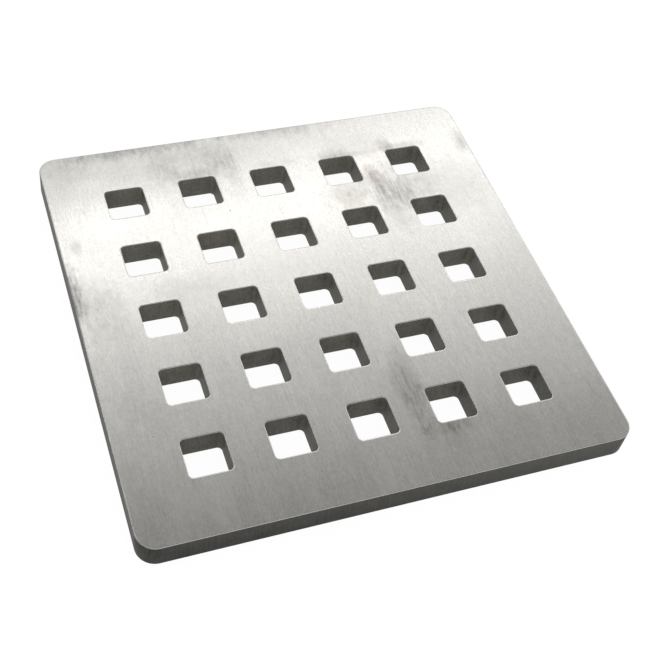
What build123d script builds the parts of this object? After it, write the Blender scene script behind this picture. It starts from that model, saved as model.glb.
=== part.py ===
"""Perforated steel plate.

A thick square plate, cut from flat stock in one piece, with a square grid of
square through holes. It lies on its underside: the origin is the centre of the
underside and +Z points up out of the brushed face. All sizes are in mm.
"""

import os

from build123d import *

# ---------------------------------------------------------------- plate
plate_thickness = 5.0        # gauge of the flat stock
plate_corner_radius = 3.5    # plan radius of the four outer corners
edge_distance = 15.0         # outer hole centres to the plate's edge

# ---------------------------------------------------------------- holes
holes_per_row = 5            # the grid has as many rows as columns
hole_pitch = 15.0            # centre to centre, both ways
hole_width = 7.7             # wall to wall
hole_corner_radius = 0.9     # left by the cutter between two walls

# ---------------------------------------------------------------- edges
upper_edge_break = 0.2       # 45 degree break on the brushed face
lower_edge_break = 0.1       # lighter deburring on the underside

# The plate is as wide as its grid of holes and the border around them.
grid_span = (holes_per_row - 1) * hole_pitch
plate_side = grid_span + 2 * edge_distance

os.makedirs("parts", exist_ok=True)

# ---------------------------------------------------------------- perforated plate
with BuildPart() as perforated_plate:
    # Plan of the plate on its underside, with every hole cut through it.
    with BuildSketch(Plane.XY):
        RectangleRounded(plate_side, plate_side, plate_corner_radius)
        with GridLocations(hole_pitch, hole_pitch, holes_per_row, holes_per_row):
            RectangleRounded(hole_width, hole_width, hole_corner_radius, mode=Mode.SUBTRACT)
    extrude(amount=plate_thickness)

    # The outline and the lip of every hole are broken on both faces.
    brushed_face = perforated_plate.faces().sort_by(Axis.Z)[-1]
    chamfer(brushed_face.edges(), length=upper_edge_break)
    underside = perforated_plate.faces().sort_by(Axis.Z)[0]
    chamfer(underside.edges(), length=lower_edge_break)

perforated_plate.part.label = "perforated_plate"
export_step(perforated_plate.part, "parts/perforated_plate.step")
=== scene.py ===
import math

import bmesh
import bpy
from mathutils import Matrix, Vector


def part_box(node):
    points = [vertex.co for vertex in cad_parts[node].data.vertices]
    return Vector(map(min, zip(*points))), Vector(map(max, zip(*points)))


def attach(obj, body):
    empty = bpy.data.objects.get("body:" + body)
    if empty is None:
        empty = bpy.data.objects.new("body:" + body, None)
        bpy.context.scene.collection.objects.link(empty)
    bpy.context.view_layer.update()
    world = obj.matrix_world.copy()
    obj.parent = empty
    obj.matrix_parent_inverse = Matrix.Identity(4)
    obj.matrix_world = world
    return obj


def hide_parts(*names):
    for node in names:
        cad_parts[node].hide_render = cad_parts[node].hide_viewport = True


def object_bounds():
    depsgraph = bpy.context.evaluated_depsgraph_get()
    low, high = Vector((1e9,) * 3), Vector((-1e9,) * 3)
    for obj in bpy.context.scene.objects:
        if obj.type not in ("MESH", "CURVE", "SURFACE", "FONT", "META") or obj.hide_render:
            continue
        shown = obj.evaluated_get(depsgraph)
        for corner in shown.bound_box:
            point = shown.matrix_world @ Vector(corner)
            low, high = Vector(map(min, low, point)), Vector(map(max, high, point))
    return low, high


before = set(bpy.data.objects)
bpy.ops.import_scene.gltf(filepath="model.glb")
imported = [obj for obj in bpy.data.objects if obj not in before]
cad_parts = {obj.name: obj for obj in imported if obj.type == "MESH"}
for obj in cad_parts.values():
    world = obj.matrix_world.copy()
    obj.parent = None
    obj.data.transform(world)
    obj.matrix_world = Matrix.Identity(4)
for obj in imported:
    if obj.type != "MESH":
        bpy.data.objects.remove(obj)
cad_box = [[float(c) for c in corner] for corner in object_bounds()]
plate_low, plate_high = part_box("perforated_plate")

# ---------------------------------------------------------------- sizes, metres
mm = 0.001
plate_side = float(plate_high[0] - plate_low[0])
plate_thickness = float(plate_high[2] - plate_low[2])
plate_corner_radius = 3.5 * mm
holes_per_row = 5
hole_pitch = 15.0 * mm
hole_width = 7.7 * mm
hole_corner_radius = 0.9 * mm
hole_lip = 0.20 * mm             # width of the eased edge round each hole, seen from above
hole_lip_drop = 0.05 * mm        # how far down the hole's wall it reaches
outer_lip = 0.26 * mm            # width of the eased edge round the plate
outer_lip_drop = 0.10 * mm
lower_lip = 0.10 * mm            # the lighter easing of every edge below
lip_wander = 0.35                # how uneven the hand deburring left the lips; 0 is even
lip_wander_waves = 420.0         # waves of that unevenness per metre

# Facets round each corner and down each lip, and how close points are welded.
plate_corner_steps = 18
hole_corner_steps = 10
lip_steps = 4
weld_distance = 0.001 * mm

plate_sizes = {
    "Plate Side": plate_side, "Thickness": plate_thickness,
    "Plate Corner Radius": plate_corner_radius, "Plate Corner Steps": plate_corner_steps,
    "Holes per Row": holes_per_row, "Hole Pitch": hole_pitch, "Hole Width": hole_width,
    "Hole Corner Radius": hole_corner_radius, "Hole Corner Steps": hole_corner_steps,
    "Hole Lip": hole_lip, "Hole Lip Drop": hole_lip_drop,
    "Outer Lip": outer_lip, "Outer Lip Drop": outer_lip_drop,
    "Lower Lip": lower_lip, "Lip Steps": lip_steps, "Lip Wander": lip_wander}
wall_sizes = {
    "Width": hole_width, "Corner Radius": hole_corner_radius, "Thickness": plate_thickness,
    "Upper Lip": hole_lip, "Upper Lip Drop": hole_lip_drop, "Lower Lip": lower_lip,
    "Lip Side": 1.0, "Corner Steps": hole_corner_steps, "Lip Steps": lip_steps}


# ---------------------------------------------------------------- node helpers
def add_node(tree, kind, inputs=None, **settings):
    """Adds a node, sets its settings, and links or fills its inputs."""
    node = tree.nodes.new(kind)
    for name, value in settings.items():
        setattr(node, name, value)
    for key, value in (inputs or {}).items():
        socket = node.inputs[key]
        if isinstance(value, bpy.types.NodeSocket):
            tree.links.new(value, socket)
        else:
            socket.default_value = value
    return node


def maths(tree, operation, *terms):
    """One arithmetic step; returns its output."""
    node = add_node(tree, "ShaderNodeMath", dict(enumerate(terms)), operation=operation)
    return node.outputs[0]


def new_group(name, sizes):
    """A geometry tree with one geometry output and an input for each named size."""
    tree = bpy.data.node_groups.new(name, "GeometryNodeTree")
    for size_name, value in sizes.items():
        kind = "NodeSocketInt" if isinstance(value, int) else "NodeSocketFloat"
        tree.interface.new_socket(size_name, in_out="INPUT", socket_type=kind).default_value = value
    tree.interface.new_socket("Geometry", in_out="OUTPUT", socket_type="NodeSocketGeometry")
    return tree


# ---------------------------------------------------------------- wall with eased lips
def wall_tree():
    """The wall round a square with rounded corners, eased at its upper and lower lip."""
    tree = new_group("Rounded wall", wall_sizes)
    size = add_node(tree, "NodeGroupInput").outputs
    round_corner, down_lip = size["Corner Steps"], size["Lip Steps"]
    per_corner = maths(tree, "ADD", round_corner, 1.0)
    round_count = maths(tree, "MULTIPLY", per_corner, 4.0)
    down_count = maths(tree, "MULTIPLY_ADD", down_lip, 2.0, 1.0)

    # An unrolled sheet: its width goes round the wall, its height goes down it.
    sheet = add_node(tree, "GeometryNodeMeshGrid", {
        "Size X": 1.0, "Size Y": 1.0,
        "Vertices X": maths(tree, "ADD", round_count, 1.0),
        "Vertices Y": maths(tree, "ADD", down_count, 1.0)})
    place = add_node(tree, "ShaderNodeSeparateXYZ", {
        0: add_node(tree, "GeometryNodeInputPosition").outputs[0]}).outputs
    along = maths(tree, "MULTIPLY", maths(tree, "ADD", place[0], 0.5), round_count)
    down = maths(tree, "MULTIPLY", maths(tree, "ADD", place[1], 0.5), down_count)

    # Which corner a point belongs to, and how far it has turned round it. The hundredth is there
    # because a division can come out a hair low.
    along_step = maths(tree, "ROUND", along)
    just_past = maths(tree, "ADD", along_step, 0.01)
    corner = maths(tree, "FLOOR", maths(tree, "DIVIDE", just_past, per_corner))
    turned = maths(tree, "DIVIDE",
                   maths(tree, "SUBTRACT", along_step, maths(tree, "MULTIPLY", corner, per_corner)),
                   round_corner)
    turn = maths(tree, "MULTIPLY", maths(tree, "ADD", corner, turned), math.pi / 2)
    middle_turn = maths(tree, "MULTIPLY_ADD", corner, math.pi / 2, math.pi / 4)
    half_width = maths(tree, "MULTIPLY", size["Width"], 0.5)
    reach = maths(tree, "SUBTRACT", half_width, size["Corner Radius"])
    diagonal = maths(tree, "MULTIPLY", reach, math.sqrt(2))

    # How far a point has gone round the upper lip, then round the lower one.
    down_step = maths(tree, "ROUND", down)
    upper_turn = maths(tree, "MULTIPLY",
                       maths(tree, "DIVIDE", maths(tree, "MINIMUM", down_step, down_lip), down_lip),
                       math.pi / 2)
    past_wall = maths(tree, "SUBTRACT", maths(tree, "SUBTRACT", down_step, down_lip), 1.0)
    lower_turn = maths(tree, "MULTIPLY",
                       maths(tree, "DIVIDE", maths(tree, "MAXIMUM", past_wall, 0.0), down_lip),
                       math.pi / 2)
    upper_out = maths(tree, "MULTIPLY", size["Upper Lip"],
                      maths(tree, "SUBTRACT", 1.0, maths(tree, "SINE", upper_turn)))
    lower_out = maths(tree, "MULTIPLY", size["Lower Lip"],
                      maths(tree, "SUBTRACT", 1.0, maths(tree, "COSINE", lower_turn)))
    flare = maths(tree, "MULTIPLY", maths(tree, "ADD", upper_out, lower_out), size["Lip Side"])
    radius = maths(tree, "ADD", size["Corner Radius"], flare)
    upper_height = maths(tree, "SUBTRACT", size["Thickness"],
                         maths(tree, "MULTIPLY", size["Upper Lip Drop"],
                               maths(tree, "SUBTRACT", 1.0, maths(tree, "COSINE", upper_turn))))
    lower_height = maths(tree, "MULTIPLY", size["Lower Lip"],
                         maths(tree, "SUBTRACT", 1.0, maths(tree, "SINE", lower_turn)))
    on_lower = maths(tree, "GREATER_THAN", past_wall, -0.5)
    height = maths(tree, "ADD",
                   maths(tree, "MULTIPLY", upper_height, maths(tree, "SUBTRACT", 1.0, on_lower)),
                   maths(tree, "MULTIPLY", lower_height, on_lower))
    x = maths(tree, "MULTIPLY_ADD", maths(tree, "COSINE", middle_turn), diagonal,
              maths(tree, "MULTIPLY", maths(tree, "COSINE", turn), radius))
    y = maths(tree, "MULTIPLY_ADD", maths(tree, "SINE", middle_turn), diagonal,
              maths(tree, "MULTIPLY", maths(tree, "SINE", turn), radius))

    # The wall's own map: distance round it, and height.
    distance = maths(tree, "MULTIPLY_ADD", corner, maths(tree, "MULTIPLY", reach, 2.0),
                     maths(tree, "MULTIPLY", turn, size["Corner Radius"]))
    wall_map = add_node(tree, "ShaderNodeCombineXYZ", {0: distance, 1: height}).outputs[0]
    mapped = add_node(tree, "GeometryNodeStoreNamedAttribute", {
        "Geometry": sheet.outputs["Mesh"], "Name": "plate_map", "Value": wall_map},
        data_type="FLOAT2", domain="CORNER")

    # Marks: the cut wall, which on the plate's outside takes in the first facet of each lip, and the
    # rolled parts, which are all but the flat upright stretches. A facet counts steps at its middle.
    wall_middle = maths(tree, "ADD", down_lip, 0.5)
    off_middle = maths(tree, "ABSOLUTE", maths(tree, "SUBTRACT", down, wall_middle))
    upright = maths(tree, "LESS_THAN", off_middle, 0.25)
    cut_reach = maths(tree, "MULTIPLY_ADD", size["Lip Side"], -0.5, 0.75)
    cut = maths(tree, "LESS_THAN", off_middle, cut_reach)
    marked = add_node(tree, "GeometryNodeStoreNamedAttribute", {
        "Geometry": mapped.outputs[0], "Name": "cut_wall", "Value": cut},
        data_type="BOOLEAN", domain="FACE")
    flat_stretch = maths(tree, "GREATER_THAN", maths(tree, "MODULO", along, per_corner), round_corner)
    rolled = add_node(tree, "GeometryNodeStoreNamedAttribute", {
        "Geometry": marked.outputs[0], "Name": "rolled",
        "Value": maths(tree, "SUBTRACT", 1.0, maths(tree, "MULTIPLY", upright, flat_stretch))},
        data_type="BOOLEAN", domain="FACE")

    # Which way, and how far, each point of a lip leans out from the upright wall.
    outward = add_node(tree, "ShaderNodeCombineXYZ", {
        0: maths(tree, "MULTIPLY", maths(tree, "COSINE", turn), flare),
        1: maths(tree, "MULTIPLY", maths(tree, "SINE", turn), flare)})
    leaning = add_node(tree, "GeometryNodeStoreNamedAttribute", {
        "Geometry": rolled.outputs[0], "Name": "lip_lean", "Value": outward.outputs[0]},
        data_type="FLOAT_VECTOR", domain="POINT")
    shaped = add_node(tree, "GeometryNodeSetPosition", {
        "Geometry": leaning.outputs[0],
        "Position": add_node(tree, "ShaderNodeCombineXYZ", {0: x, 1: y, 2: height}).outputs[0]})
    closed = add_node(tree, "GeometryNodeMergeByDistance", {
        "Geometry": shaped.outputs[0], "Distance": weld_distance})
    add_node(tree, "NodeGroupOutput", {0: closed.outputs[0]})
    return tree


# ---------------------------------------------------------------- perforated plate
def plate_tree(brushed, hole_wall, outer_edge):
    """A plate with a square grid of square holes, whose faces are filled between the walls."""
    tree = new_group("Perforated plate", plate_sizes)
    size = add_node(tree, "NodeGroupInput").outputs
    wall_group = wall_tree()

    def wall(width, corner, lip, side):
        """A wall by the names of its sizes; its lips lean outwards where side is 1, inwards at -1."""
        return add_node(tree, "GeometryNodeGroup", {
            "Width": size[width], "Corner Radius": size[corner + " Radius"],
            "Thickness": size["Thickness"], "Upper Lip": size[lip],
            "Upper Lip Drop": size[lip + " Drop"], "Lower Lip": size["Lower Lip"], "Lip Side": side,
            "Corner Steps": size[corner + " Steps"], "Lip Steps": size["Lip Steps"]},
            node_tree=wall_group).outputs[0]

    outer = wall("Plate Side", "Plate Corner", "Outer Lip", -1.0)
    hole = wall("Hole Width", "Hole Corner", "Hole Lip", 1.0)

    # The grid of hole centres, and one wall at each.
    span = maths(tree, "MULTIPLY", size["Hole Pitch"],
                 maths(tree, "SUBTRACT", size["Holes per Row"], 1.0))
    centres = add_node(tree, "GeometryNodeMeshGrid", {
        "Size X": span, "Size Y": span,
        "Vertices X": size["Holes per Row"], "Vertices Y": size["Holes per Row"]})
    holes = add_node(tree, "GeometryNodeInstanceOnPoints", {
        "Points": centres.outputs["Mesh"], "Instance": hole})
    real_holes = add_node(tree, "GeometryNodeRealizeInstances", {0: holes.outputs[0]})
    true_walls = add_node(tree, "GeometryNodeJoinGeometry")
    tree.links.new(outer, true_walls.inputs[0])
    tree.links.new(real_holes.outputs[0], true_walls.inputs[0])

    # Hand deburring: each lip is a little wider here and narrower there. The noise keeps within about
    # a quarter of its middle, so 4 makes its swing about 1.
    place = add_node(tree, "GeometryNodeInputPosition").outputs[0]
    parts = add_node(tree, "ShaderNodeSeparateXYZ", {0: place}).outputs
    lean = add_node(tree, "GeometryNodeInputNamedAttribute", {"Name": "lip_lean"},
                    data_type="FLOAT_VECTOR")
    unevenness = add_node(tree, "ShaderNodeTexNoise", {
        "Vector": place, "Scale": lip_wander_waves, "Detail": 2.0})
    amount = maths(tree, "MULTIPLY", maths(tree, "SUBTRACT", unevenness.outputs[0], 0.5),
                   maths(tree, "MULTIPLY", size["Lip Wander"], 4.0))
    shift = add_node(tree, "ShaderNodeVectorMath", {0: lean.outputs[0], "Scale": amount},
                     operation="SCALE")
    walls = add_node(tree, "GeometryNodeSetPosition", {
        "Geometry": true_walls.outputs[0], "Offset": shift.outputs[0]})

    # Each open end of the walls is filled with a flat face that the holes pass through.
    faces_beside = add_node(tree, "GeometryNodeInputMeshEdgeNeighbors").outputs[0]
    rim = maths(tree, "COMPARE", faces_beside, 1.0, 0.1)
    above = maths(tree, "GREATER_THAN", parts[2], maths(tree, "MULTIPLY", size["Thickness"], 0.5))
    everything = add_node(tree, "GeometryNodeJoinGeometry")
    for upper in (True, False):
        end = above if upper else maths(tree, "SUBTRACT", 1.0, above)
        loops = add_node(tree, "GeometryNodeMeshToCurve", {
            "Mesh": walls.outputs[0], "Selection": maths(tree, "MULTIPLY", rim, end)})
        face = add_node(tree, "GeometryNodeFillCurve", {"Curve": loops.outputs[0]})
        level = size["Thickness"] if upper else 0.0
        seat = add_node(tree, "ShaderNodeCombineXYZ", {0: parts[0], 1: parts[1], 2: level})
        seated = add_node(tree, "GeometryNodeSetPosition", {
            "Geometry": face.outputs[0], "Position": seat.outputs[0]})
        mapped = add_node(tree, "GeometryNodeStoreNamedAttribute", {
            "Geometry": seated.outputs[0], "Name": "plate_map", "Value": place},
            data_type="FLOAT2", domain="CORNER")
        if not upper:
            mapped = add_node(tree, "GeometryNodeFlipFaces", {0: mapped.outputs[0]})
        tree.links.new(mapped.outputs[0], everything.inputs[0])
    tree.links.new(walls.outputs[0], everything.inputs[0])
    whole = add_node(tree, "GeometryNodeMergeByDistance", {
        "Geometry": everything.outputs[0], "Distance": weld_distance})

    # Rolled parts are shaded smooth and flat ones flat, and each part gets its finish.
    rolled = add_node(tree, "GeometryNodeInputNamedAttribute", {"Name": "rolled"}, data_type="BOOLEAN")
    shaded = add_node(tree, "GeometryNodeSetShadeSmooth", {
        "Geometry": whole.outputs[0], "Shade Smooth": rolled.outputs[0]})
    real = add_node(tree, "GeometryNodeRealizeInstances", {0: shaded.outputs[0]})
    brushed_all = add_node(tree, "GeometryNodeSetMaterial", {
        "Geometry": real.outputs[0], "Material": brushed})
    on_wall = add_node(tree, "GeometryNodeInputNamedAttribute", {"Name": "cut_wall"},
                       data_type="BOOLEAN")
    walled = add_node(tree, "GeometryNodeSetMaterial", {
        "Geometry": brushed_all.outputs[0], "Selection": on_wall.outputs[0], "Material": hole_wall})
    inner = maths(tree, "ADD", maths(tree, "MULTIPLY", span, 0.5), size["Hole Width"])
    outside = maths(tree, "MAXIMUM",
                    maths(tree, "GREATER_THAN", maths(tree, "ABSOLUTE", parts[0]), inner),
                    maths(tree, "GREATER_THAN", maths(tree, "ABSOLUTE", parts[1]), inner))
    edged = add_node(tree, "GeometryNodeSetMaterial", {
        "Geometry": walled.outputs[0], "Material": outer_edge,
        "Selection": maths(tree, "MULTIPLY", on_wall.outputs[0], outside)})
    add_node(tree, "NodeGroupOutput", {0: edged.outputs[0]})
    return tree


def make_plate(brushed, hole_wall, outer_edge):
    """Runs the plate tree with this plate's sizes and keeps the result as a plain mesh."""
    plate = bpy.data.objects.new("plate", bpy.data.meshes.new("plate"))
    bpy.context.collection.objects.link(plate)
    tree = plate_tree(brushed, hole_wall, outer_edge)
    modifier = plate.modifiers.new("Perforated plate", "NODES")
    modifier.node_group = tree
    for item in tree.interface.items_tree:
        if item.in_out == "INPUT":
            modifier[item.identifier] = plate_sizes[item.name]
    graph = bpy.context.evaluated_depsgraph_get()
    mesh = bpy.data.meshes.new_from_object(
        plate.evaluated_get(graph), preserve_all_data_layers=True, depsgraph=graph)
    plate.modifiers.clear()
    mesh.name = "plate"
    plate.data = mesh
    work = bmesh.new()
    work.from_mesh(mesh)
    bmesh.ops.recalc_face_normals(work, faces=work.faces)
    work.to_mesh(mesh)
    work.free()
    return plate


# ---------------------------------------------------------------- finishes
def new_material(name):
    """A material with an empty node tree, and the tree."""
    material = bpy.data.materials.new(name)
    material.use_nodes = True
    tree = material.node_tree
    tree.nodes.clear()
    return material, tree


def stretched_noise(tree, where, stretch, detail=2.0, turn=0.0, start=0.0):
    """Noise with its own number of waves per metre each way, so that few waves draw it out. The turn,
    in degrees, and the start pick another part of the noise and leave its direction alone."""
    mapping = add_node(tree, "ShaderNodeMapping", {
        "Vector": where, "Location": (start, start * 0.7, start * 1.3),
        "Rotation": (0.0, 0.0, math.radians(turn)), "Scale": stretch})
    return add_node(tree, "ShaderNodeTexNoise", {
        "Vector": mapping.outputs[0], "Scale": 1.0, "Detail": detail}).outputs[0]


def fade(tree, value, low, high):
    """0 below low and 1 above high, smooth between; with high below low it runs the other way."""
    node = add_node(tree, "ShaderNodeMapRange", {
        "Value": value, "From Min": low, "From Max": high}, interpolation_type="SMOOTHSTEP")
    return node.outputs[0]


def swing(tree, value, amount):
    """The value's swing about a half, times amount."""
    return maths(tree, "MULTIPLY", maths(tree, "SUBTRACT", value, 0.5), amount)


def total(tree, *terms):
    """All the terms added up."""
    whole = terms[0]
    for term in terms[1:]:
        whole = maths(tree, "ADD", whole, term)
    return whole


def oval_places(tree, where, rim, places):
    """Soft oval places added up. Each fades from its centre to nothing at its reach, where the grain
    makes its rim uneven."""
    added_places = 0.0
    for centre, reach, turn, strength in places:
        mapping = add_node(tree, "ShaderNodeMapping", {
            "Vector": where, "Location": (centre[0] * mm, centre[1] * mm, 0.0),
            "Rotation": (0.0, 0.0, math.radians(turn)),
            "Scale": (reach[0] * mm, reach[1] * mm, 1.0)}, vector_type="TEXTURE")
        flat = add_node(tree, "ShaderNodeVectorMath", {
            0: mapping.outputs[0], 1: (1.0, 1.0, 0.0)}, operation="MULTIPLY")
        away = add_node(tree, "ShaderNodeVectorMath", {0: flat.outputs[0]}, operation="LENGTH")
        uneven = maths(tree, "ADD", away.outputs["Value"], rim)
        place = maths(tree, "MULTIPLY", fade(tree, uneven, 1.05, 0.05), strength)
        added_places = maths(tree, "ADD", added_places, place)
    return added_places


# Each place is its centre and its half width and half length in millimetres, its turn in degrees and
# its strength. A strength below zero makes the place brighter. Holes are counted from the left.
# Not every place is a rub: those along the rear edge are partly painted shade, the strongest by the left
# edge is a painted dark reflection, and those of strength below zero are painted highlight.
rubs_and_painted_light = [
    # the long rub between two holes at the rear right, and the dull face round it
    ((24.8, 22.4), (4.4, 9.2), 33.0, 0.10),
    ((25.7, 20.4), (4.0, 5.8), 14.0, 0.36),
    ((22.3, 19.6), (5.5, 3.6), 0.0, 0.24),
    ((26.8, 24.2), (9.4, 10.5), 10.0, 0.33),
    ((20.0, 25.4), (4.2, 5.0), 0.0, 0.26),
    ((23.0, 15.0), (5.0, 6.0), 0.0, 0.26),
    ((35.0, 21.5), (19.0, 12.0), 0.0, 0.26),
    ((15.0, 23.0), (7.0, 6.4), 0.0, 0.34),
    # behind the rear holes
    ((15.0, 34.8), (6.4, 2.1), 0.0, 0.42),
    ((18.0, 34.2), (8.4, 1.2), 0.0, 0.34),
    ((15.0, 37.5), (4.0, 5.4), 0.0, 0.10),
    ((22.0, 36.6), (9.0, 5.0), 0.0, 0.18),
    ((26.8, 35.0), (3.2, 3.2), 0.0, 0.30),
    ((31.0, 34.6), (6.2, 1.8), 0.0, 0.40),
    ((-15.2, 35.0), (6.2, 2.4), 0.0, 0.52),
    ((1.5, 34.8), (5.6, 1.7), 0.0, 0.26),
    # along the rear edge, darker for streaky wear and for painted shade that tones down the softbox's
    # reflection there, and between the second and the third hole of the rear row
    ((-20.4, 37.4), (4.2, 7.0), -4.0, 0.38),
    ((-8.6, 38.0), (5.4, 8.0), 6.0, 0.46),
    ((-14.0, 40.5), (22.0, 7.4), 0.0, 0.26),
    ((-25.0, 45.2), (25.0, 3.2), 0.0, 0.84),
    ((-29.0, 43.4), (13.0, 2.4), 0.0, 0.36),
    ((4.0, 45.2), (18.0, 3.6), 0.0, 0.60),
    ((9.0, 43.0), (7.0, 3.4), 0.0, 0.24),
    ((-41.0, 42.0), (8.0, 6.0), 0.0, 0.34),
    ((-7.5, 30.0), (2.8, 6.5), 0.0, 0.12),
    # by the right edge, then by the left one, whose strongest place is a painted dark reflection, and
    # between the holes next to it
    ((43.7, 33.0), (2.0, 4.8), 0.0, 0.50),
    ((-45.0, 7.5), (2.8, 11.0), 0.0, 1.30),
    ((-41.0, 5.0), (6.5, 9.5), 4.0, 0.46),
    ((-41.0, -0.5), (7.0, 4.0), 0.0, 0.18),
    ((-23.0, 5.8), (11.0, 4.8), 0.0, 0.22),
    ((-42.0, 20.7), (1.4, 2.6), 0.0, 0.30),
    # beside and before the fourth hole of the front row, and at the front right corner
    ((8.8, -22.6), (3.8, 9.6), -3.0, 0.74),
    ((9.6, -30.0), (3.3, 7.6), -2.0, 0.58),
    ((14.6, -34.5), (8.6, 2.9), 0.0, 0.80),
    ((11.8, -37.0), (6.0, 5.0), 0.0, 0.30),
    ((7.8, -26.0), (5.4, 13.0), 0.0, 0.16),
    ((40.0, -38.0), (20.0, 14.0), 0.0, 0.14),
    # painted highlight: places made brighter where the reflection is brighter
    ((21.0, -9.0), (22.0, 28.0), 0.0, -0.14),
    ((36.0, 7.0), (10.0, 12.0), 0.0, -0.16),
    ((25.0, -23.5), (8.0, 6.0), 0.0, -0.10),
    ((-7.5, -2.0), (16.0, 9.0), 0.0, -0.14),
    ((-1.0, 1.0), (12.0, 5.0), 0.0, -0.16),
    ((-18.0, -7.5), (7.0, 5.0), 0.0, -0.18),
    ((-35.0, 28.5), (15.0, 8.0), 0.0, -0.32),
    ((-35.0, 36.0), (6.0, 4.0), 0.0, -0.20),
]

# Browner places: beside the long rub, to the left of it, and behind the last hole of the rear row.
tarnished_places = [
    ((20.8, 27.6), (2.8, 5.0), 24.0, 0.50),
    ((14.4, 22.9), (0.7, 1.1), 0.0, 1.00),
    ((15.0, 21.5), (5.4, 4.0), 0.0, 0.18),
    ((26.4, 35.4), (2.8, 3.0), 0.0, 0.25),
]


# Colours of the metal, how far those of the cut walls swing warmer and cooler, and how proud the
# brushed grain and the cutting marks stand.
brushed_tint = (0.675, 0.659, 0.628, 1.0)
tarnish_tint = (0.640, 0.585, 0.520, 1.0)
hole_wall_tint = (0.155, 0.148, 0.125, 1.0)
# The outer edge's colour is the hole walls' cut steel at about half the brightness: painted shade.
outer_edge_shaded_tint = (0.074, 0.073, 0.065, 1.0)
warmer, cooler = (1.10, 0.96, 0.90, 1.0), (0.90, 1.04, 1.10, 1.0)
grain_depth = 0.004 * mm
cut_depth = 0.006 * mm


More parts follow.
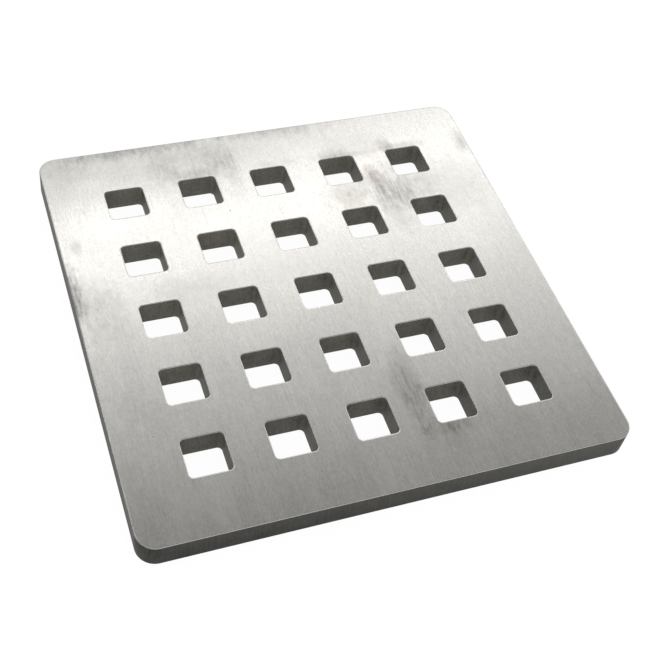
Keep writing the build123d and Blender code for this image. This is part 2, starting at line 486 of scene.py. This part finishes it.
def brushed_steel():
    """Steel brushed along Y, with scratches and specks, and on the upper face its wear marks and browner
    places, among them painted shade, a painted reflection and painted highlights.
    """
    material, tree = new_material("brushed steel")
    where = add_node(tree, "ShaderNodeTexCoord").outputs["Object"]

    # Grain of the brushing: short strokes drawn out along Y, over a faint mottle.
    hairline = stretched_noise(tree, where, (4200.0, 420.0, 900.0), 2.0)
    frost = stretched_noise(tree, where, (3300.0, 1500.0, 1500.0), 2.0, 0.0, 29.0)
    stroke = stretched_noise(tree, where, (1700.0, 170.0, 300.0), 3.0, 0.8, 3.0)
    mottle = stretched_noise(tree, where, (900.0, 560.0, 600.0), 3.0, 0.0, 17.0)
    comb = stretched_noise(tree, where, (1900.0, 90.0, 300.0), 1.0, 0.0, 43.0)
    band = stretched_noise(tree, where, (300.0, 45.0, 60.0), 2.0, -0.6, 7.0)
    cloud = stretched_noise(tree, where, (62.0, 50.0, 40.0), 4.0, 0.0, 11.0)

    # A few deeper and longer scratches among the strokes: the peaks of two more noises.
    finer = stretched_noise(tree, where, (2100.0, 90.0, 100.0), 0.0, 2.5, 21.0)
    coarser = stretched_noise(tree, where, (1900.0, 80.0, 100.0), 0.0, -3.5, 31.0)
    scratch = maths(tree, "MAXIMUM", fade(tree, finer, 0.76, 0.84), fade(tree, coarser, 0.78, 0.86))

    # Small nicks and specks, one in about every fourth cell.
    speck_cells = add_node(tree, "ShaderNodeTexVoronoi", {"Vector": where, "Scale": 190.0})
    chosen = add_node(tree, "ShaderNodeSeparateColor", {0: speck_cells.outputs["Color"]}).outputs
    speck = maths(tree, "MULTIPLY", fade(tree, speck_cells.outputs["Distance"], 0.050, 0.015),
                  maths(tree, "GREATER_THAN", chosen[0], 0.72))

    # Dull rubs where the upper face was handled, together with the painted shade, painted reflection and
    # painted highlights of the same list, and a few browner places.
    height = add_node(tree, "ShaderNodeSeparateXYZ", {0: where}).outputs[2]
    upper = maths(tree, "GREATER_THAN", height, plate_thickness * 0.5)
    rim = total(tree, swing(tree, comb, 0.6), swing(tree, mottle, 0.5), swing(tree, band, 0.8),
                swing(tree, cloud, 0.5))
    rub_and_painted_light = maths(tree, "MULTIPLY", upper,
                   maths(tree, "MINIMUM", oval_places(tree, where, rim, rubs_and_painted_light), 1.0))
    tarnished = maths(tree, "MULTIPLY", upper,
                      maths(tree, "MINIMUM", oval_places(tree, where, rim, tarnished_places), 1.0))
    combed = maths(tree, "ADD", 0.38, total(tree, swing(tree, comb, 0.45), swing(tree, hairline, 0.9)))

    # Tone is 1 on the plain face; every layer swings it a little, damage and wear take from it, and the
    # painted places darken or brighten it.
    tone = total(tree, maths(tree, "ADD", 1.0, swing(tree, hairline, 0.18)), swing(tree, frost, 0.34),
                 swing(tree, stroke, 0.07), swing(tree, mottle, 0.17), swing(tree, band, 0.07),
                 swing(tree, cloud, 0.14))
    tone = maths(tree, "SUBTRACT", tone, maths(tree, "MULTIPLY", scratch, 0.08))
    tone = maths(tree, "SUBTRACT", tone, maths(tree, "MULTIPLY", speck, 0.30))
    tone = maths(tree, "SUBTRACT", tone, maths(tree, "MULTIPLY", rub_and_painted_light, combed))
    tone = maths(tree, "SUBTRACT", tone, maths(tree, "MULTIPLY", tarnished, 0.10))
    tint = add_node(tree, "ShaderNodeMix", {
        "Factor": tarnished, "A": brushed_tint, "B": tarnish_tint}, data_type="RGBA")
    colour = add_node(tree, "ShaderNodeVectorMath", {
        0: tint.outputs["Result"], "Scale": tone}, operation="SCALE").outputs[0]

    # Wear makes the face rougher, as do the places of painted shade, while the painted highlights make
    # it smoother; damage is cut into the grain's relief.
    roughness = total(tree, maths(tree, "ADD", 0.27, swing(tree, stroke, 0.04)),
                      swing(tree, band, 0.04), swing(tree, cloud, 0.08),
                      maths(tree, "MULTIPLY", rub_and_painted_light, 0.10))
    relief = total(tree, maths(tree, "MULTIPLY", hairline, 0.6), maths(tree, "MULTIPLY", stroke, 0.6),
                   maths(tree, "MULTIPLY", scratch, -1.2), maths(tree, "MULTIPLY", speck, -3.0))
    bump = add_node(tree, "ShaderNodeBump", {"Strength": 1.0, "Distance": grain_depth, "Height": relief})
    tangent = add_node(tree, "ShaderNodeTangent", direction_type="UV_MAP", uv_map="plate_map")
    shader = add_node(tree, "ShaderNodeBsdfPrincipled", {
        "Base Color": colour, "Metallic": 1.0, "Roughness": roughness, "Anisotropic": 0.75,
        "Tangent": tangent.outputs[0], "Normal": bump.outputs[0]})
    add_node(tree, "ShaderNodeOutputMaterial", {0: shader.outputs[0]})
    return material


def cut_steel(name, steel, metal, roughness, shade):
    """Duller steel of a cut wall, with fine upright cutting marks and dark mottling. The shade is
    painted shade: it says how its tone changes from place to place."""
    material, tree = new_material(name)
    where = add_node(tree, "ShaderNodeTexCoord").outputs["Object"]
    upright = stretched_noise(tree, where, (2600.0, 2600.0, 160.0), 2.0)
    mottle = stretched_noise(tree, where, (1900.0, 1900.0, 1700.0), 3.0, 0.0, 5.0)
    patchy = stretched_noise(tree, where, (230.0, 230.0, 320.0), 2.0, 0.0, 9.0)
    tone = total(tree, shade(tree, where), swing(tree, upright, 0.55), swing(tree, mottle, 1.35),
                 swing(tree, patchy, 0.90))
    tint = add_node(tree, "ShaderNodeMix", {
        "Factor": stretched_noise(tree, where, (700.0, 700.0, 600.0), 2.0, 0.0, 13.0),
        "A": [part * more for part, more in zip(steel, warmer)],
        "B": [part * more for part, more in zip(steel, cooler)]}, data_type="RGBA")
    colour = add_node(tree, "ShaderNodeVectorMath", {
        0: tint.outputs["Result"], "Scale": tone}, operation="SCALE").outputs[0]
    rough = total(tree, maths(tree, "ADD", roughness, swing(tree, mottle, 0.25)),
                  swing(tree, patchy, 0.15))
    relief = total(tree, upright, mottle)
    bump = add_node(tree, "ShaderNodeBump", {"Strength": 1.0, "Distance": cut_depth, "Height": relief})
    shader = add_node(tree, "ShaderNodeBsdfPrincipled", {
        "Base Color": colour, "Metallic": metal, "Roughness": rough, "Normal": bump.outputs[0]})
    add_node(tree, "ShaderNodeOutputMaterial", {0: shader.outputs[0]})
    return material


def hole_shade(tree, where):
    """Painted shade: hole walls are a little darker towards the front."""
    parts = add_node(tree, "ShaderNodeSeparateXYZ", {0: where}).outputs
    rearward = fade(tree, parts[1], -plate_side * 0.45, plate_side * 0.30)
    return maths(tree, "MULTIPLY_ADD", rearward, 0.34, 0.78)


def edge_shade(tree, where):
    """Painted shade: the outer edge is darkest at the front left corner and along its foot."""
    parts = add_node(tree, "ShaderNodeSeparateXYZ", {0: where}).outputs
    far = maths(tree, "ADD", parts[0], parts[1])
    away = fade(tree, far, -plate_side * 0.85, plate_side * 0.35)
    foot = fade(tree, parts[2], -plate_thickness * 0.2, plate_thickness)
    return maths(tree, "MULTIPLY_ADD", away, 0.54, maths(tree, "MULTIPLY_ADD", foot, 0.34, 0.48))


# ---------------------------------------------------------------- studio
white = (1.0, 1.0, 1.0, 1.0)
floor_grey = (0.9, 0.9, 0.9, 1.0)
floor_glow = 1.02                # strength of the white that the eye and gloss see
floor_glow_share = 0.94          # what is left is the matt floor, which shows the plate's shadow
floor_half_side = 3.0
floor_gap = 0.1 * mm             # keeps the plate's underside clear of the floor


def pale_floor():
    """A plain pale floor, matt for the light and nearly white for the eye and for gloss."""
    material, tree = new_material("pale floor")
    light = add_node(tree, "ShaderNodeLightPath").outputs
    seen = maths(tree, "MAXIMUM", light["Is Camera Ray"],
                 maths(tree, "MAXIMUM", light["Is Glossy Ray"], light["Is Transmission Ray"]))
    matt = add_node(tree, "ShaderNodeBsdfDiffuse", {"Color": floor_grey})
    glow = add_node(tree, "ShaderNodeEmission", {"Color": white, "Strength": floor_glow})
    mix = add_node(tree, "ShaderNodeMixShader", {
        0: maths(tree, "MULTIPLY", seen, floor_glow_share), 1: matt.outputs[0], 2: glow.outputs[0]})
    add_node(tree, "ShaderNodeOutputMaterial", {0: mix.outputs[0]})
    level = cad_box[0][2] - floor_gap
    corners = [(x * floor_half_side, y * floor_half_side, level)
               for x, y in ((-1, -1), (1, -1), (1, 1), (-1, 1))]
    mesh = bpy.data.meshes.new("floor")
    mesh.from_pydata(corners, [], [(0, 1, 2, 3)])
    floor = bpy.data.objects.new("floor", mesh)
    mesh.materials.append(material)
    bpy.context.collection.objects.link(floor)


# How bright the room looks in gloss, by the angle in degrees up from the horizon behind the plate
# and over to the horizon in front of it: skirting, pale backdrop, dim ceiling, front of the room.
room_brightness = [(0, 0.30), (8, 0.30), (16, 0.86), (42, 0.84), (46, 0.92), (50, 0.92), (54, 0.77),
                   (58, 0.415), (62, 0.198), (80, 0.26), (105, 0.42), (140, 0.80), (160, 0.70),
                   (180, 0.35)]

# That brightness is multiplied by the middle level, which the gain raises towards the right and the
# loss lowers at the left. The side walls and the ceiling light are never darker than their values.
middle_level, right_gain, left_loss = 0.94, 0.36, 0.6
side_wall, ceiling_light = 0.72, 0.55


def studio_world():
    """White all round for the eye and for soft light, with a room that only gloss shows: it is
    brighter towards the right and dim on the left, up to its pale side walls and ceiling light."""
    world = bpy.data.worlds.new("studio")
    world.use_nodes = True
    bpy.context.scene.world = world
    tree = world.node_tree
    tree.nodes.clear()
    way = add_node(tree, "ShaderNodeSeparateXYZ", {
        0: add_node(tree, "ShaderNodeTexCoord").outputs["Generated"]}).outputs
    lift = maths(tree, "ARCTAN2", way[2], way[1])
    ramp = add_node(tree, "ShaderNodeValToRGB", {0: maths(tree, "DIVIDE", lift, math.pi)})
    stops = ramp.color_ramp.elements
    while len(stops) < len(room_brightness):
        stops.new(0.5)
    for stop, (angle, level) in zip(stops, room_brightness):
        stop.position = angle / 180
        stop.color = (level, level, level, 1.0)

    rightward = fade(tree, way[0], 0.10, 0.52)
    leftward = fade(tree, way[0], -0.35, -0.75)
    sideways = maths(tree, "MULTIPLY",
                     maths(tree, "MULTIPLY_ADD", rightward, right_gain, middle_level),
                     maths(tree, "MULTIPLY_ADD", leftward, -left_loss, 1.0))
    at_side = fade(tree, maths(tree, "ABSOLUTE", way[0]), 0.72, 0.92)
    overhead = fade(tree, way[2], 0.93, 0.99)
    pale = maths(tree, "MAXIMUM", maths(tree, "MULTIPLY", at_side, side_wall),
                 maths(tree, "MULTIPLY", overhead, ceiling_light))
    room = maths(tree, "MAXIMUM", maths(tree, "MULTIPLY", ramp.outputs[0], sideways), pale)

    light = add_node(tree, "ShaderNodeLightPath").outputs
    gloss = add_node(tree, "ShaderNodeBackground", {"Color": white, "Strength": room})
    soft = add_node(tree, "ShaderNodeBackground", {"Color": white, "Strength": 1.0})
    mix = add_node(tree, "ShaderNodeMixShader", {
        0: light["Is Glossy Ray"], 1: soft.outputs[0], 2: gloss.outputs[0]})
    add_node(tree, "ShaderNodeOutputWorld", {0: mix.outputs[0]})


def strip_softbox(name, aim, distance, elevation, tilt, width, height, radiance):
    """A long flat lamp behind the plate that faces aim. Lengths are in metres and angles in degrees;
    the elevation is above the horizon, and the tilt is in the lamp's own plane."""
    lamp = bpy.data.lights.new(name, "AREA")
    lamp.shape = "RECTANGLE"
    lamp.size, lamp.size_y = width, height
    lamp.energy = radiance * math.pi * width * height
    box = bpy.data.objects.new(name, lamp)
    way = Vector((0.0, math.cos(math.radians(elevation)), math.sin(math.radians(elevation))))
    facing = (-way).to_track_quat("-Z", "Y").to_matrix().to_4x4()
    box.matrix_world = (Matrix.Translation(aim + way * distance) @ facing
                        @ Matrix.Rotation(math.radians(tilt), 4, "Z"))
    bpy.context.collection.objects.link(box)


sensor_width = 36.0              # in millimetres, as the lens length is
lens_length = 63.80
lens_shift = (0.0366, -0.0516)
nearest, farthest = 0.01, 20.0
camera_place = Vector((-0.06517, -0.13184, 0.17471))
camera_aim = Vector((-0.00232, -0.00189, 0.005))
camera_roll = 9.774              # in degrees


def studio_camera():
    """Looks down at the plate from its front left, rolled a little."""
    lens = bpy.data.cameras.new("camera")
    lens.sensor_width, lens.lens = sensor_width, lens_length
    lens.shift_x, lens.shift_y = lens_shift
    lens.clip_start, lens.clip_end = nearest, farthest
    camera = bpy.data.objects.new("camera", lens)
    level = (camera_aim - camera_place).to_track_quat("-Z", "Y").to_matrix().to_4x4()
    roll = Matrix.Rotation(math.radians(camera_roll), 4, "Z")
    camera.matrix_world = Matrix.Translation(camera_place) @ level @ roll
    bpy.context.collection.objects.link(camera)
    bpy.context.scene.camera = camera


# ---------------------------------------------------------------- the scene
studio_camera()
studio_world()
pale_floor()
strip_softbox("rear strip softbox", aim=Vector((0.0, 0.0, plate_thickness)), distance=0.7,
              elevation=47.9, tilt=6.0, width=1.6, height=0.04, radiance=2.00)

brushed_face = brushed_steel()
hole_walls = cut_steel("hole wall steel", hole_wall_tint, metal=0.35, roughness=0.66,
                       shade=hole_shade)
# The outer edge takes the cut steel painted darker, and edge_shade paints more shade on it.
outer_edges = cut_steel("outer edge steel", outer_edge_shaded_tint, metal=1.0, roughness=0.58,
                        shade=edge_shade)
plate = make_plate(brushed_face, hole_walls, outer_edges)
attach(plate, "root")
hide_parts("perforated_plate")

view = bpy.context.scene.view_settings
view.view_transform = "Standard"
